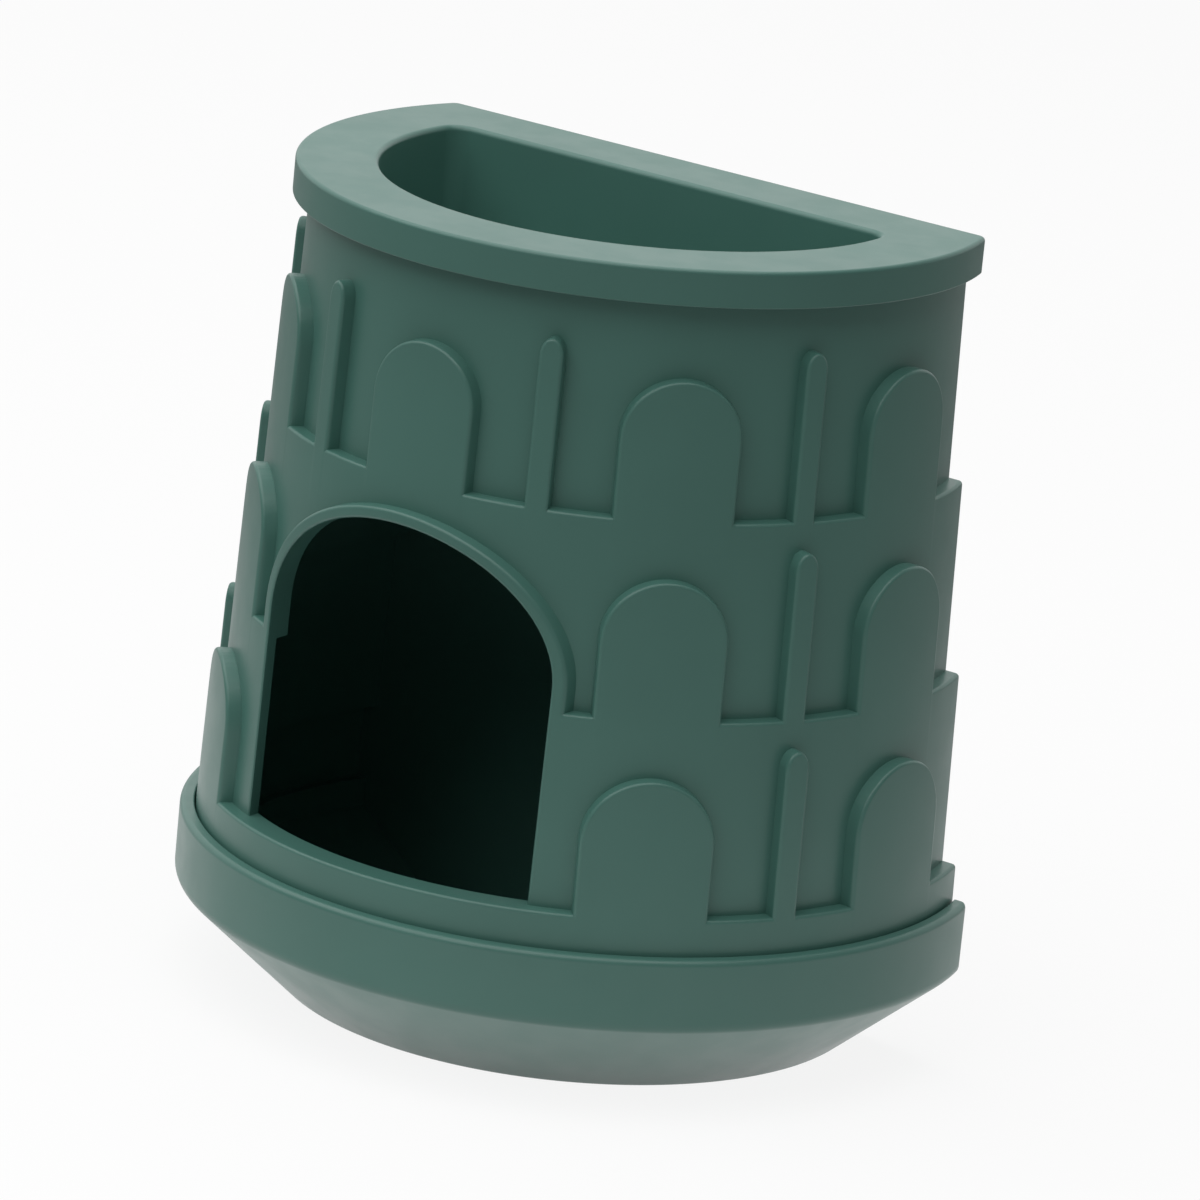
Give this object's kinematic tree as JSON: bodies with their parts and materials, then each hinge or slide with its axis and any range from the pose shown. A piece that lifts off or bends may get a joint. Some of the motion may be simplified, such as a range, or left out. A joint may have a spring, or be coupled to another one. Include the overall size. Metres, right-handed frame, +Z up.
{
  "type": "reptile hideout",
  "caption": "Half-round tower hideout for small reptiles: raised arch relief, arched doorway, lift-out feeding cup, lift-off base tray and suction cups on the flat back.",
  "frame": {"origin": "on the axis of the round front, level with the underside of the foot", "axes": "+Z up, doorway facing -Y, flat back and suction cups facing +Y"},
  "size_m": [0.1192, 0.0828, 0.123],
  "materials": {
    "tray_plastic": "satin moulded plastic, dark green",
    "tower_plastic": "satin moulded plastic, dark green",
    "cup_plastic": "satin moulded plastic, dark green",
    "clear_rubber": "soft translucent vinyl"
  },
  "bodies": {
    "tray": {"base_tray": "tray_plastic"},
    "tower": {"tower_shell": "tower_plastic", "suction_cup_low_left": "clear_rubber", "suction_cup_low_right": "clear_rubber", "suction_cup_top_left": "clear_rubber", "suction_cup_top_right": "clear_rubber"},
    "cup": {"feeding_cup": "cup_plastic"}
  },
  "joints": [
    {"name": "tower_lift", "type": "slide", "parent": "tray", "child": "tower", "axis": [0, 0, 1], "range_m": [0, 0.03]},
    {"name": "cup_lift", "type": "slide", "parent": "tower", "child": "cup", "axis": [0, 0, 1], "range_m": [0, 0.045]}
  ]
}
